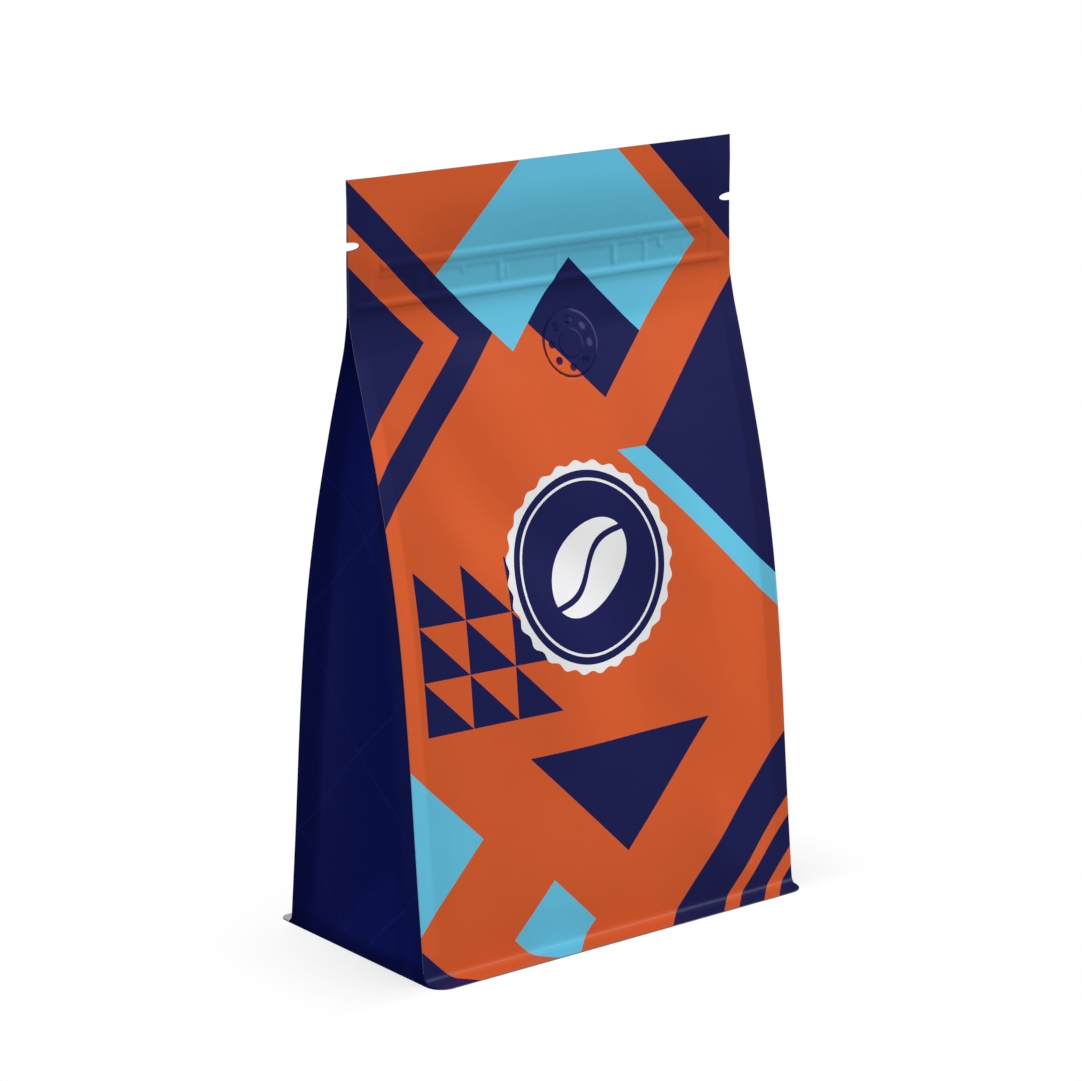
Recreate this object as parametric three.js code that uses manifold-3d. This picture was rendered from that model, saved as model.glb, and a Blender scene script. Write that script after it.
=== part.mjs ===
// Shut flat-bottom pouch, standing, in millimetres. +Z is up and the printed front faces -Y.
// The origin is on the floor, under the middle of the pouch.
import * as THREE from 'three';
import { mergeVertices } from 'three/addons/utils/BufferGeometryUtils.js';
import Module from 'manifold-3d';

// Outer form
const WIDTH = 140;
const HEIGHT = 226;
const HALF_WIDTH = WIDTH / 2;

// Half the depth from the middle plane to a panel's side edge, as [height, half depth] knots.
// The panels lean together from the foot, and lie flat on each other from SEAL_BOTTOM up.
const SEAL_BOTTOM = 188;
const FLAT_HALF = 0.65;
const DEPTH_KNOTS = [
  [0, 33], [28, 30.2], [70, 26.4], [98, 23], [126, 17.5],
  [154, 9.9], [168, 5.6], [180, 1.95], [SEAL_BOTTOM, FLAT_HALF], [HEIGHT, FLAT_HALF],
];

// Foot seals: the front and back panels bend out into a thin flange on the floor, which is
// LIP_THICKNESS thick at its edge and LIP_ROOT where it meets the bend
const LIP_EDGE = 39.5;
const LIP_THICKNESS = 0.32;
const LIP_ROOT = 0.52;
const LIP_BEND = 2.3;
const LIP_BEND_SHARE = 0.35;
const LIP_CORNER = 5.5;

// Edge seals down both sides of the front and back panels. Each one falls back from the
// panel's edge to the crease beside it, as [height, drop] knots.
const EDGE_SEAL = 5.6;
const SEAL_DROP_KNOTS = [
  [0, 0], [10, 0.15], [30, 0.42], [70, 0.68], [110, 0.88],
  [150, 0.98], [166, 0.7], [178, 0.2], [SEAL_BOTTOM, 0], [HEIGHT, 0],
];
const FIN_RADIUS = 0.32;

// How far the filled panels crown forward between their two creases, as [height, crown] knots
const CROWN_KNOTS = [
  [0, 0], [10, 0.3], [30, 0.9], [60, 1.4], [110, 1.9],
  [160, 1.8], [180, 1.1], [SEAL_BOTTOM, 0.7], [200, 0.2], [HEIGHT, 0],
];

// Side gussets: a crease beside each edge seal is set in, and between the two creases the
// gusset bows out low down (above 0) and folds inwards near the top (below 0)
const GUSSET_STRIP = 9;
const GUSSET_SET_IN_KNOTS = [
  [0, 0], [12, 1.2], [30, 1.7], [90, 2], [126, 2.8],
  [154, 4], [170, 4.4], [180, 3.4], [186, 0.9], [SEAL_BOTTOM, 0], [HEIGHT, 0],
];
const GUSSET_BOW_KNOTS = [
  [0, 0], [5.5, 1.1], [16, 3], [60, 2.6], [100, 1.6], [126, -0.5],
  [154, -3.6], [170, -5], [180, -3.5], [186, -0.9], [SEAL_BOTTOM, 0], [HEIGHT, 0],
];

// Press-to-close zipper, which shows as two ridges with a shallow band between them
const ZIP_RIDGES = [
  { height: 201.4, halfTall: 1.4, rise: 0.55, end: 58.7 },
  { height: 190.1, halfTall: 1.3, rise: 0.4, end: 64 },
];
const ZIP_END_FADE = 2.6;

// Tear notches in both side edges
const NOTCH_HEIGHT = 207.4;
const NOTCH_REACH = 4.2;
const NOTCH_HALF_TALL = 1.2;

// Degassing valve, set in the front panel
const VALVE_X = 5;
const VALVE_HEIGHT = 171.8;
const VALVE_RADIUS = 10.3;
const VALVE_THICKNESS = 1.1;
const VALVE_PROUD = 0.35;
const VALVE_RIM = 0.9;
const VALVE_RIM_RISE = 0.3;
const VALVE_EDGE_DROP = 0.15;
const VALVE_SLOPE = 0.3;
const VALVE_BOSS_RADIUS = 4.2;
const VALVE_BOSS_RISE = 0.15;
const VALVE_HOLES = 8;
const VALVE_HOLE_RADIUS = 1.25;
const VALVE_HOLE_CIRCLE = 6.85;
const VALVE_HOLE_DEPTH = 0.45;
const VALVE_TURN = THREE.MathUtils.degToRad(-4);
const CLEARANCE = 0.3;

// How far a cutting shape reaches past the face that it cuts
const CUT_REACH = 4;

// Where the surface is sampled
const PANEL_X = [0, 14, 28, 40, 48, 56, 60, 64.4];
const GUSSET_Y = [-1, -0.5, 0, 0.5, 1];
const CORNER_STEPS = 3;
const NOTCH_SEGMENTS = 14;
const VALVE_SEGMENTS = 48;
const HOLE_SEGMENTS = 14;
const BEND_STEPS = 5;
const BODY_LEVELS = [
  6, 12, 22, 34, 46, 58, 70, 82, 94, 106, 117, 127, 136, 144, 151, 157,
  162, 167, 171, 175, 179, 182.5, 185.5, SEAL_BOTTOM,
];
const TOP_LEVELS = [195, 198.5, 205, 213, 220, HEIGHT];

const wasm = await Module();
wasm.setup();

// Smooth curve through [position, value] knots, without overshoot between them
function curveThrough(knots, position) {
  const last = knots.length - 1;
  if (position <= knots[0][0]) return knots[0][1];
  if (position >= knots[last][0]) return knots[last][1];
  let i = 0;
  while (knots[i + 1][0] < position) i += 1;
  const rate = (k) => (knots[k + 1][1] - knots[k][1]) / (knots[k + 1][0] - knots[k][0]);
  const slope = (k) => {
    if (k === 0) return rate(0);
    if (k === last) return rate(last - 1);
    const before = rate(k - 1);
    const after = rate(k);
    if (before * after <= 0) return 0;
    return (2 * before * after) / (before + after);
  };
  const span = knots[i + 1][0] - knots[i][0];
  const t = (position - knots[i][0]) / span;
  const start = knots[i][1] + t * t * (3 - 2 * t) * (knots[i + 1][1] - knots[i][1]);
  return start + span * (t * (1 - t) ** 2 * slope(i) - t * t * (1 - t) * slope(i + 1));
}

const clamp01 = (t) => Math.min(1, Math.max(0, t));
const smoothStep = (t) => clamp01(t) ** 2 * (3 - 2 * clamp01(t));

// Share of the way out to the foot lip's edge at this height: 0 on the panel, then a round
// bend, then the flat flange, and 1 at its edge
function lipShare(z) {
  if (z < LIP_ROOT) {
    const inwards = clamp01((z - LIP_THICKNESS) / (LIP_ROOT - LIP_THICKNESS));
    return THREE.MathUtils.lerp(1, LIP_BEND_SHARE, inwards);
  }
  const below = clamp01((LIP_ROOT + LIP_BEND - z) / LIP_BEND);
  return LIP_BEND_SHARE * (1 - Math.sqrt(1 - below * below));
}

function zipRelief(x, z) {
  let rise = 0;
  for (const ridge of ZIP_RIDGES) {
    const across = (z - ridge.height) / ridge.halfTall;
    const fade = smoothStep((ridge.end + ZIP_END_FADE / 2 - Math.abs(x)) / ZIP_END_FADE);
    if (Math.abs(across) < 1) rise += ridge.rise * Math.cos((across * Math.PI) / 2) ** 2 * fade;
  }
  return rise;
}

// Distance of a panel's outer face from the middle plane
function panelDepth(x, z) {
  const fromEdge = HALF_WIDTH - Math.abs(x);
  const drop = curveThrough(SEAL_DROP_KNOTS, z) * clamp01(fromEdge / EDGE_SEAL);
  const across = clamp01(Math.abs(x) / (HALF_WIDTH - EDGE_SEAL));
  const crown = curveThrough(CROWN_KNOTS, z) * (1 - across * across);
  const panel = curveThrough(DEPTH_KNOTS, z) - drop + crown + zipRelief(x, z);
  return THREE.MathUtils.lerp(panel, LIP_EDGE, lipShare(z));
}

// Point of a gusset's outer face; share runs from -1 to 1 between its two creases
function gussetPoint(share, z, halfDepth) {
  const crease = halfDepth - Math.min(GUSSET_STRIP, 0.45 * halfDepth);
  const setIn = curveThrough(GUSSET_SET_IN_KNOTS, z);
  const bow = curveThrough(GUSSET_BOW_KNOTS, z);
  const form = bow > 0 ? 1 - share * share : 1 - Math.abs(share);
  return [HALF_WIDTH - setIn + bow * form, share * crease];
}

// One closed outline at height z, counter-clockwise from above, from the left front corner
function outline(z) {
  const radius = THREE.MathUtils.lerp(FIN_RADIUS, LIP_CORNER, lipShare(z));
  const edgeDepth = panelDepth(HALF_WIDTH, z);
  const panelXs = [...PANEL_X.slice(1).reverse().map((x) => -x), ...PANEL_X];
  const straight = edgeDepth - radius;
  const points = [];
  for (let side = 0; side < 2; side += 1) {
    const turn = side === 0 ? 1 : -1;
    const put = (x, y) => points.push([turn * x, turn * y]);
    const corner = (x, from) => {
      for (let k = 0; k <= CORNER_STEPS; k += 1) {
        const angle = from + (k / CORNER_STEPS) * (Math.PI / 2);
        put(x + radius * Math.cos(angle), -straight + radius * Math.sin(angle));
      }
    };
    corner(-HALF_WIDTH + radius, Math.PI);
    for (const x of panelXs) put(x, -panelDepth(x, z));
    corner(HALF_WIDTH - radius, 1.5 * Math.PI);
    for (const share of GUSSET_Y) put(...gussetPoint(share, z, straight));
  }
  return points;
}

function levels() {
  const all = [0, LIP_THICKNESS];
  for (let k = 0; k <= BEND_STEPS; k += 1) {
    const turned = (k / BEND_STEPS) * (Math.PI / 2);
    all.push(LIP_ROOT + LIP_BEND * (1 - Math.cos(turned)));
  }
  all.push(...BODY_LEVELS, ...TOP_LEVELS);
  for (const ridge of ZIP_RIDGES) {
    for (const share of [-1, -0.5, 0, 0.5, 1]) all.push(ridge.height + share * ridge.halfTall);
  }
  return all.sort((a, b) => a - b);
}

// Closed skin through a stack of outlines with the same number of points
function loft(heights) {
  const positions = [];
  const indices = [];
  const rings = heights.map(outline);
  const count = rings[0].length;
  rings.forEach((ring, k) => ring.forEach(([x, y]) => positions.push(x, y, heights[k])));
  for (let k = 0; k < rings.length - 1; k += 1) {
    for (let i = 0; i < count; i += 1) {
      const next = (i + 1) % count;
      const low = k * count;
      const high = low + count;
      indices.push(low + i, low + next, high + next, low + i, high + next, high + i);
    }
  }
  const contour = (ring) => ring.map(([x, y]) => new THREE.Vector2(x, y));
  for (const [a, b, c] of THREE.ShapeUtils.triangulateShape(contour(rings[0]), [])) {
    indices.push(a, c, b);
  }
  const top = (rings.length - 1) * count;
  for (const [a, b, c] of THREE.ShapeUtils.triangulateShape(contour(rings[rings.length - 1]), [])) {
    indices.push(top + a, top + b, top + c);
  }
  const geometry = new THREE.BufferGeometry();
  geometry.setAttribute('position', new THREE.Float32BufferAttribute(positions, 3));
  geometry.setIndex(indices);
  return geometry;
}

function toSolid(geometry) {
  const bare = geometry.clone();
  bare.deleteAttribute('normal');
  bare.deleteAttribute('uv');
  const merged = mergeVertices(bare, 1e-4);
  return new wasm.Manifold(new wasm.Mesh({
    numProp: 3,
    vertProperties: new Float32Array(merged.attributes.position.array),
    triVerts: new Uint32Array(merged.index.array),
  }));
}

function toGeometry(solid) {
  const mesh = solid.getMesh();
  const geometry = new THREE.BufferGeometry();
  geometry.setAttribute('position', new THREE.Float32BufferAttribute(mesh.vertProperties, 3));
  geometry.setIndex(new THREE.Uint32BufferAttribute(mesh.triVerts, 1));
  geometry.computeVertexNormals();
  return geometry;
}

// Flat oval, cut right through one side edge
function notchCutter(side) {
  const shape = new THREE.Shape();
  shape.absellipse(0, 0, NOTCH_REACH, NOTCH_HALF_TALL, 0, 2 * Math.PI);
  const geometry = new THREE.ExtrudeGeometry(shape, {
    depth: 2 * CUT_REACH, curveSegments: NOTCH_SEGMENTS, bevelEnabled: false,
  });
  geometry.translate(0, 0, -CUT_REACH);
  geometry.rotateX(Math.PI / 2);
  geometry.translate(side * HALF_WIDTH, 0, NOTCH_HEIGHT);
  return geometry;
}

// The valve's own frame: its axis leaves the panel at a right angle
function valveMatrix() {
  const step = 0.5 * VALVE_RADIUS;
  const above = -panelDepth(VALVE_X, VALVE_HEIGHT + step);
  const below = -panelDepth(VALVE_X, VALVE_HEIGHT - step);
  const lean = Math.atan2(above - below, 2 * step);
  const matrix = new THREE.Matrix4().makeRotationX(Math.PI / 2 - lean);
  return matrix.setPosition(VALVE_X, -panelDepth(VALVE_X, VALVE_HEIGHT), VALVE_HEIGHT);
}

function disc(radius, low, high, segments) {
  const profile = [[0, low], [radius, low], [radius, high], [0, high]];
  return new THREE.LatheGeometry(profile.map(([r, h]) => new THREE.Vector2(r, h)), segments)
    .rotateX(Math.PI / 2);
}

function valvePocket() {
  const floor = VALVE_PROUD - VALVE_THICKNESS - CLEARANCE;
  return disc(VALVE_RADIUS + CLEARANCE, floor, CUT_REACH, VALVE_SEGMENTS);
}

function valveSolid() {
  const back = VALVE_PROUD - VALVE_THICKNESS;
  const face = VALVE_PROUD - VALVE_RIM_RISE;
  const rimInside = VALVE_RADIUS - VALVE_RIM;
  const profile = [
    [0, back],
    [VALVE_RADIUS, back],
    [VALVE_RADIUS, VALVE_PROUD - VALVE_EDGE_DROP],
    [VALVE_RADIUS - VALVE_SLOPE, VALVE_PROUD],
    [rimInside + VALVE_SLOPE, VALVE_PROUD],
    [rimInside, face],
    [VALVE_BOSS_RADIUS + VALVE_SLOPE, face],
    [VALVE_BOSS_RADIUS, face + VALVE_BOSS_RISE],
    [0, face + VALVE_BOSS_RISE],
  ];
  const points = profile.map(([r, h]) => new THREE.Vector2(r, h));
  let solid = toSolid(new THREE.LatheGeometry(points, VALVE_SEGMENTS).rotateX(Math.PI / 2));
  for (let k = 0; k < VALVE_HOLES; k += 1) {
    const angle = VALVE_TURN + (k / VALVE_HOLES) * 2 * Math.PI;
    const hole = disc(VALVE_HOLE_RADIUS, face - VALVE_HOLE_DEPTH, CUT_REACH, HOLE_SEGMENTS);
    hole.translate(VALVE_HOLE_CIRCLE * Math.cos(angle), VALVE_HOLE_CIRCLE * Math.sin(angle), 0);
    solid = solid.subtract(toSolid(hole));
  }
  return solid;
}

function makePouch() {
  const pocket = valvePocket().applyMatrix4(valveMatrix());
  let solid = toSolid(loft(levels()));
  solid = solid.subtract(toSolid(notchCutter(-1)));
  solid = solid.subtract(toSolid(notchCutter(1)));
  solid = solid.subtract(toSolid(pocket));
  const film = new THREE.MeshStandardMaterial({ color: 0xc75830, roughness: 0.45, metalness: 0 });
  const mesh = new THREE.Mesh(toGeometry(solid), film);
  mesh.name = 'pouch';
  return mesh;
}

function makeValve() {
  const plastic = new THREE.MeshStandardMaterial({ color: 0x22244f, roughness: 0.4, metalness: 0 });
  const mesh = new THREE.Mesh(toGeometry(valveSolid()), plastic);
  mesh.name = 'degassing_valve';
  mesh.applyMatrix4(valveMatrix());
  return mesh;
}

const pouch = new THREE.Group();
pouch.add(makePouch(), makeValve());

export default pouch;
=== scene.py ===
import math

import bpy
import numpy as np
from mathutils import Matrix, Vector


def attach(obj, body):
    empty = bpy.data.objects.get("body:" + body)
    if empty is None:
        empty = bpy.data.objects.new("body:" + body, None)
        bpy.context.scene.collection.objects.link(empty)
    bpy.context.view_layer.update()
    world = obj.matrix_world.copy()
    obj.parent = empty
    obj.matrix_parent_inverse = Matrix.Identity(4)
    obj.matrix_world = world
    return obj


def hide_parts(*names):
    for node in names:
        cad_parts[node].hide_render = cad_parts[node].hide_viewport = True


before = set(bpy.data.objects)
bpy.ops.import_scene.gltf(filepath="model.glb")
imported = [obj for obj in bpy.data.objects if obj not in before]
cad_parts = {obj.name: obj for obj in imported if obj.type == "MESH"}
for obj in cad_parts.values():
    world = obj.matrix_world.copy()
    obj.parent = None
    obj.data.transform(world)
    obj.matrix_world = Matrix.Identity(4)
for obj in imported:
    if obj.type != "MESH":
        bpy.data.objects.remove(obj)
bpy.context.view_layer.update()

# A flat-bottom pouch of printed film. Lengths are in millimetres until a mesh is made.
# +Z is up, the printed front faces -Y, and the origin is on the floor under the middle.
MM = 0.001
SHARP_ANGLE = math.radians(50)
HEIGHT = 226.0
HALF_WIDTH = 70.0

# Half the depth from the middle plane to a panel's side edge, as (height, half depth) knots
DEPTH_KNOTS = (
    (0, 33), (28, 30.2), (70, 26.4), (98, 23), (126, 17.5), (154, 9.9), (168, 5.6),
    (180, 1.95), (188, 0.6), (200, 0.42), (212, 0.24), (226, 0.2),
)

# Foot seals, which bend out as thin flanges at the front and the back
LIP_EDGE = 39.5
LIP_THICKNESS = 0.3
LIP_ROOT = 0.5
LIP_BEND = 2.3
LIP_BEND_SHARE = 0.35
LIP_CORNER = 5.5
LIP_CORNER_BACK = 3.2
LIP_TOP = LIP_ROOT + LIP_BEND

# Edge seals beside the four upright edges, with a crease along each. A seal falls back from
# the edge to its crease, and between the creases the panel crowns forward.
EDGE_SEAL = 5.6
SEAL_DROP_KNOTS = (
    (0, 0), (10, 0.15), (30, 0.42), (70, 0.68), (110, 0.88),
    (150, 0.98), (166, 0.7), (178, 0.2), (188, 0), (226, 0),
)
FIN_RADIUS = 0.19
CREASE_X = HALF_WIDTH - EDGE_SEAL
CROWN_KNOTS = (
    (0, 0), (10, 0.3), (30, 0.9), (60, 1.4), (110, 1.9), (160, 1.8), (180, 1.1), (188, 0.7),
    (200, 0.2), (226, 0),
)

# The flat top leans back from its edge down to the zipper, less so towards its sides, and its
# outer margins curl back. Pairs are the heights that a change starts and ends at.
LEAN = 1.1
LEAN_SPAN = (184.0, 220.0)
LEAN_DIP = 0.4
LEAN_DIP_SPAN = (178.0, 186.0)
LEAN_SIDE_LOSS = 0.6
LEAN_SIDE_REACH = 75.0
MARGIN_X = 62.7
MARGIN_SPREAD = 3.2
MARGIN_SPREAD_SPAN = (219.0, 226.0)
MARGIN_CURL = 0.05
MARGIN_CURL_SPAN = (190.0, 204.0)

# Zipper: film pressed over its two ridges. Each has (height, rise) knots, then how far out
# it goes and the width that it fades over.
ZIP_RIDGES = (
    (((197.0, 0), (198.0, 0.09), (198.9, 0.06), (200.4, 0.28), (201.1, 0.3), (202.7, 0)),
     58.6, 0.3),
    (((187.2, 0), (188.6, 0.1), (189.4, 0.29), (190.0, 0.3), (191.3, 0)), 66.5, 4.0),
)
# Shallow band between them: middle height, half height, end, corner radius and depth
ZIP_BAND = (194.9, 4.2, 62.6, 2.6, 0.12)
ZIP_BAND_EDGE = 1.6
# Marks of the closure pressed through the film: x, low, high, half width, rise, bow
ZIP_RIBS = (
    (-46.0, 191.6, 198.4, 2.4, 0.13, 0.3), (-40.6, 192.4, 198.0, 1.9, 0.12, -0.4),
    (-30.6, 195.4, 198.6, 1.2, 0.12, 1.0), (-17.0, 191.4, 198.4, 1.5, 0.16, -0.2),
    (-14.6, 192.0, 197.2, 0.8, 0.1, 0.1), (3.8, 191.8, 198.2, 1.0, 0.11, 0.1),
    (9.6, 192.6, 195.0, 1.0, 0.06, 0.5), (24.8, 191.2, 198.6, 1.3, 0.2, 0.3),
    (36.8, 191.0, 198.6, 1.1, 0.15, -0.7), (42.4, 194.6, 198.7, 1.2, 0.18, 0.9),
    (51.6, 192.2, 196.0, 0.9, 0.05, 0.2),
)
RIB_PRESS = 1.15
RIB_END = 1.5

# Tear notches
NOTCH_HEIGHT = 207.4
NOTCH_REACH = 4.2
NOTCH_HALF_TALL = 1.2

# Soft swellings of the filled panels: x, z, lean, half length, half width, rise
FRONT_SWELLS = (
    (-10, 109, 36, 70, 11.5, -0.74), (29, 183, -31, 65, 22.5, -0.96),
    (-16, 91, 12, 53, 12, 0.4), (-14, 117, 63, 54, 11.5, -0.8),
    (-47, 127, 24, 21, 8.5, 0.75), (-12, 25, 89, 39, 18.5, 0.72),
    (7, 103, 10, 50, 12, -0.47), (-31, 157, 22, 21.5, 15.5, 0.8),
    (49.5, 4, 21, 32, 9.5, 0.75), (40, 107, 11, 34.5, 12, 0.8),
    (1, 85, 61, 28, 11, 0.64), (16, 140, -8, 66, 10.5, -0.52),
    (-23, 41, -5, 60, 14.5, 0.3), (-17, 32, -44, 25.5, 11.5, 0.11),
    (-11, 70, 40, 70, 17.5, 0.54),
)
BACK_SWELLS = (
    (-30, 60, 40, 34, 9, 0.8), (34, 120, -32, 36, 9, 0.9), (0, 160, 0, 18, 14, 0.4),
)
SWELL_SIDE = 8.0
SWELL_FOOT_SPAN = (0.0, 14.0)
SWELL_TOP_SPAN = (174.0, 186.0)

# Side gussets: a strip beside each edge seal, then a face that is set in, bows out low down
# and folds inwards near the top
GUSSET_STRIP = 9.0
GUSSET_STRIP_SHARE = 0.45
GUSSET_SET_IN_KNOTS = (
    (0, 0), (12, 1.2), (30, 1.7), (90, 2), (126, 2.8),
    (154, 4), (170, 4.4), (180, 3.4), (186, 0.9), (188, 0), (226, 0),
)
GUSSET_BOW_KNOTS = (
    (0, 0), (5.5, 1.1), (16, 2.2), (60, 2.4), (100, 1.6), (126, -0.5),
    (154, -3.6), (170, -5), (180, -3.5), (186, -0.9), (188, 0), (226, 0),
)
FOLD_IN_POWER = 1.3

# Triangular facet at each gusset's foot: its apex as y and height, and its two feet
FOOT_BAND = 5.6
FACET_APEX = (-17.0, 34.0)
FACET_FRONT_FOOT = -29.0
FACET_BACK_FOOT = 15.0
FACET_RISE = 1.7
FACET_FRONT_SLOPE = 1.6
FACET_SOFTNESS = 1.5
FACET_SIDE_SHARE = 0.12

# Underside, lifted off the floor inside its seals, as (inset, height) steps
BASE_STEPS = ((0.8, 0.0), (6.0, 0.05), (7.5, 0.9), (12.0, 1.3), (24.0, 1.5))

# How finely the film is divided: stretches of its height with the steps in each, finest at
# the foot, valve and zipper, and places across each part of its outline
LEVEL_STRETCHES = (
    (LIP_TOP, 6.5, 5), (6.5, 42.0, 30), (42.0, 160.0, 59), (160.0, 186.0, 23), (186.0, 206.0, 55),
)
FLANGE_LEVELS = 7
BEND_STEPS = 14
NOTCH_LEVELS = 17
TOP_FIRST_LEVEL = 209.0
TOP_LEVELS = 22
CORNER_STEPS = 6
HALF_CORNER = CORNER_STEPS // 2
FRONT_COLUMNS = 197
BACK_COLUMNS = 95
STRIP_STEPS = 7
CREASE_ROUND = 0.3
GUSSET_COLUMNS = 25
GUSSET_STRIP_STEPS = 5

# Degassing valve under the film, and the seat that the film makes for it
VALVE_X = 5.0
VALVE_Z = 171.8
VALVE_RADIUS = 10.3
VALVE_BEVEL = 1.0
VALVE_BEVEL_POWER = 0.9
VALVE_PROUD = 0.62
VALVE_SKIRT = 0.7
SEAT_DROP = 0.5
SEAT_RADIUS = VALVE_RADIUS - 0.9
SEAT_EDGE = 1.0
BOSS_RADIUS = 4.2
BOSS_BEVEL = 0.3
BOSS_RISE = 0.16
HOLES = 8
HOLE_TURN = math.radians(-4)
HOLE_CIRCLE = 6.85
HOLE_RADIUS = 1.25
HOLE_EDGE = 0.3
HOLE_TILT = 0.25
VALVE_SEGMENTS = 192
VALVE_FIRST_RING = 0.25
VALVE_DISC_RINGS = 54
VALVE_BEVEL_RINGS = 8
# Side of the valve's bake layout, in valve radii, and how much its hidden bottom is shrunk
VALVE_ATLAS_RADII = 3.0
HIDDEN_ATLAS_SHARE = 0.1

# Painted light and shade on the front and back panels, up the height and across the front
PANEL_PAINTED_SHADING_KNOTS = (
    (0, 0.84), (1.5, 0.77), (3, 0.93), (8, 0.97), (14, 1), (50, 1.03), (110, 1.01), (145, 0.965),
    (180, 0.955), (192, 0.97), (226, 0.99),
)
PANEL_PAINTED_SHADING_ACROSS = (
    (-70, 0.94), (-58, 0.975), (-44, 1), (0, 1), (16, 0.985), (31, 0.955), (44, 0.97),
    (56, 0.975), (66, 0.93), (70, 0.925),
)
ACROSS_FOOT_SPAN = (8.0, 20.0)
ACROSS_TOP_SPAN = (136.0, 160.0)
# Soft spots of painted light and shade in front: x, z, half width, half height, change
PAINTED_LIGHT_AND_SHADE_SPOTS = ((-58.0, 208.0, 14.0, 9.0, 0.18), (24.0, 203.0, 32.0, 12.0, -0.06))

# Painted shading of the gussets: painted shade on their strips and foot, painted light on the facet
BACK_STRIP_PAINTED_SHADE = 0.26
FRONT_STRIP_PAINTED_SHADE = 0.2
STRIP_SHADE_EDGE = 1.5
FRONT_STRIP_SPAN = (60.0, 120.0)
FOOT_BAND_PAINTED_SHADE = 0.25
FOOT_BAND_EDGE = (FOOT_BAND - 1.2, FOOT_BAND + 1.0)
FACET_PAINTED_LIGHT = 0.22
FACET_LIGHT_RISE = 0.4
# Painted light up the height, strongest near the gussets' narrow top
GUSSET_PAINTED_LIGHT_KNOTS = (
    (0, 1), (130, 1.03), (142, 1.15), (154, 1.3), (163, 1.65), (173, 2.2), (226, 2.3),
)

# Print colours, linear
ORANGE = (0.55, 0.090, 0.025)
NAVY = (0.0105, 0.0124, 0.0695)
BLUE = (0.108, 0.445, 0.62)
WHITE = (0.665, 0.665, 0.675)
PALE = (0.50, 0.50, 0.47)
GUSSET_NAVY = (0.0040, 0.0068, 0.078)
GUSSET_LINE = (0.0116, 0.01692, 0.1522)

# Film finish. A noise is given as scale, detail and roughness, with how much it changes.
FILM_ROUGHNESS = 0.36
FILM_SPECULAR = 0.03
GUSSET_SPECULAR = 0.01
VALVE_ROUGHNESS = 0.6
VALVE_SPECULAR = 0.015
INK_NOISE = (60.0, 3.0, 0.5)
INK_CHANGE = 0.05
GLOSS_NOISE = (35.0, 2.0, 0.5)
GLOSS_CHANGE = 0.12
GRAIN_NOISE = (900.0, 3.0, 0.6)
GRAIN_RISE = 0.012
WAVE_NOISE = (85.0, 2.0, 0.5)
WAVE_RISE = 0.09
# The film's slope between the zipper and the top edge, as a rise between two heights
TOP_SLOPE = 5.0
TOP_SLOPE_SPAN = (176.0, 220.0)


def curve_through(knots, position):
    """Smooth curve through (position, value) knots, without overshoot between them."""
    at, value = np.array(knots, float).T
    rate = np.diff(value) / np.diff(at)
    slope = np.concatenate([rate[:1], np.zeros(len(rate) - 1), rate[-1:]])
    same = rate[:-1] * rate[1:] > 0
    total = np.where(same, rate[:-1] + rate[1:], 1)
    slope[1:-1] = np.where(same, 2 * rate[:-1] * rate[1:] / total, 0)
    p = np.clip(position, at[0], at[-1])
    i = np.clip(np.searchsorted(at, p, side="right") - 1, 0, len(at) - 2)
    span = at[i + 1] - at[i]
    t = (p - at[i]) / span
    level = value[i] + t * t * (3 - 2 * t) * (value[i + 1] - value[i])
    return level + span * (t * (1 - t) ** 2 * slope[i] - t * t * (1 - t) * slope[i + 1])


def smooth(t):
    """0 up to 0 and 1 from 1, with soft ends."""
    t = np.clip(t, 0, 1)
    return t * t * (3 - 2 * t)


def fade_in(value, low, high):
    """0 up to low, 1 from high, with soft ends."""
    return smooth((value - low) / (high - low))


def fade_out(value, low, high):
    """1 up to low, 0 from high, with soft ends."""
    return smooth((high - value) / (high - low))


def lip_share(z):
    """Share of the way out to the lip's edge: 0 on the panel, a round bend, a flat flange, 1."""
    inwards = np.clip((z - LIP_THICKNESS) / (LIP_ROOT - LIP_THICKNESS), 0, 1)
    flange = 1 + (LIP_BEND_SHARE - 1) * inwards
    below = np.clip((LIP_TOP - z) / LIP_BEND, 0, 1)
    return np.where(z < LIP_ROOT, flange, LIP_BEND_SHARE * (1 - np.sqrt(1 - below**2)))


def edge_half_width(z):
    """Half the width over the side edges, with the tear notches."""
    across = np.clip(np.abs(z - NOTCH_HEIGHT) / NOTCH_HALF_TALL, 0, 1)
    return HALF_WIDTH - NOTCH_REACH * np.sqrt(1 - across**2)


def corner_radius(z, lip_corner):
    """Radius of the film's outline at a corner: a thin fin, which opens out into the lip."""
    return FIN_RADIUS + (lip_corner - FIN_RADIUS) * lip_share(z)


def zip_relief(x, z):
    """Relief over the zipper: two ridges, a shallow band between them and the band's marks."""
    side = np.abs(x)
    rise = np.zeros(np.broadcast(x, z).shape)
    for profile, end, fade in ZIP_RIDGES:
        rise += curve_through(profile, z) * fade_out(side, end - fade / 2, end + fade / 2)
    height, half_tall, end, corner, depth = ZIP_BAND
    out_x = np.maximum(side - (end - corner), 0)
    out_z = np.maximum(np.abs(z - height) - (half_tall - corner), 0)
    rise -= depth * fade_out(np.hypot(out_x, out_z), corner - ZIP_BAND_EDGE, corner)
    for rib_x, low, high, half_wide, top, bow in ZIP_RIBS:
        middle = rib_x + bow * ((z - low) / (high - low) * 2 - 1) ** 2
        across = np.clip(np.abs(x - middle) / half_wide, 0, 1)
        along = fade_in(z, low, low + RIB_END) * fade_out(z, high - RIB_END, high)
        rise += RIB_PRESS * top * np.cos(across * math.pi / 2) ** 2 * along
    return rise


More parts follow.
